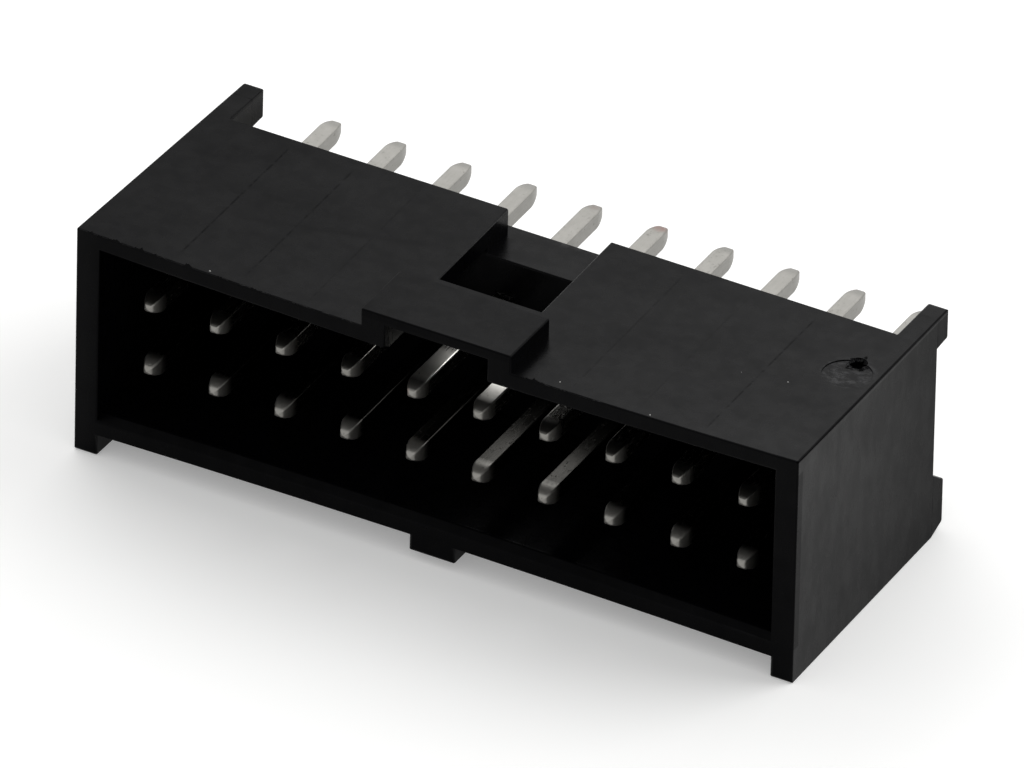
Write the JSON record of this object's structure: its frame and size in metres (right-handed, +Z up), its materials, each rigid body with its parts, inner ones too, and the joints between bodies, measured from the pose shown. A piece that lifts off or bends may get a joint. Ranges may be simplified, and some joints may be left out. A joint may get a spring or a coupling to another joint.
{
  "type": "pin header",
  "caption": "Shrouded pin header: a long box open at its mouth, with rows of square contacts, a polarising key channel on one side and straight solder tails.",
  "frame": {"origin": "middle of the contact pattern, on the plane where the standoffs seat on the board", "axes": "+X along the contact rows, +Y from the mating mouth towards the board, along the contacts, +Z up as the part lies on its side, towards the polarising bump"},
  "size_m": [0.0278, 0.0137, 0.0095],
  "materials": {
    "housing_plastic": "black moulded glass-filled plastic with a satin sheen",
    "contact_tin": "matte tin plating over brass wire"
  },
  "bodies": {
    "root": {"housing": "housing_plastic", "contact_a01": "contact_tin", "contact_a02": "contact_tin", "contact_a03": "contact_tin", "contact_a04": "contact_tin", "contact_a05": "contact_tin", "contact_a06": "contact_tin", "contact_a07": "contact_tin", "contact_a08": "contact_tin", "contact_a09": "contact_tin", "contact_a10": "contact_tin", "contact_b01": "contact_tin", "contact_b02": "contact_tin", "contact_b03": "contact_tin", "contact_b04": "contact_tin", "contact_b05": "contact_tin", "contact_b06": "contact_tin", "contact_b07": "contact_tin", "contact_b08": "contact_tin", "contact_b09": "contact_tin", "contact_b10": "contact_tin"}
  },
  "joints": []
}
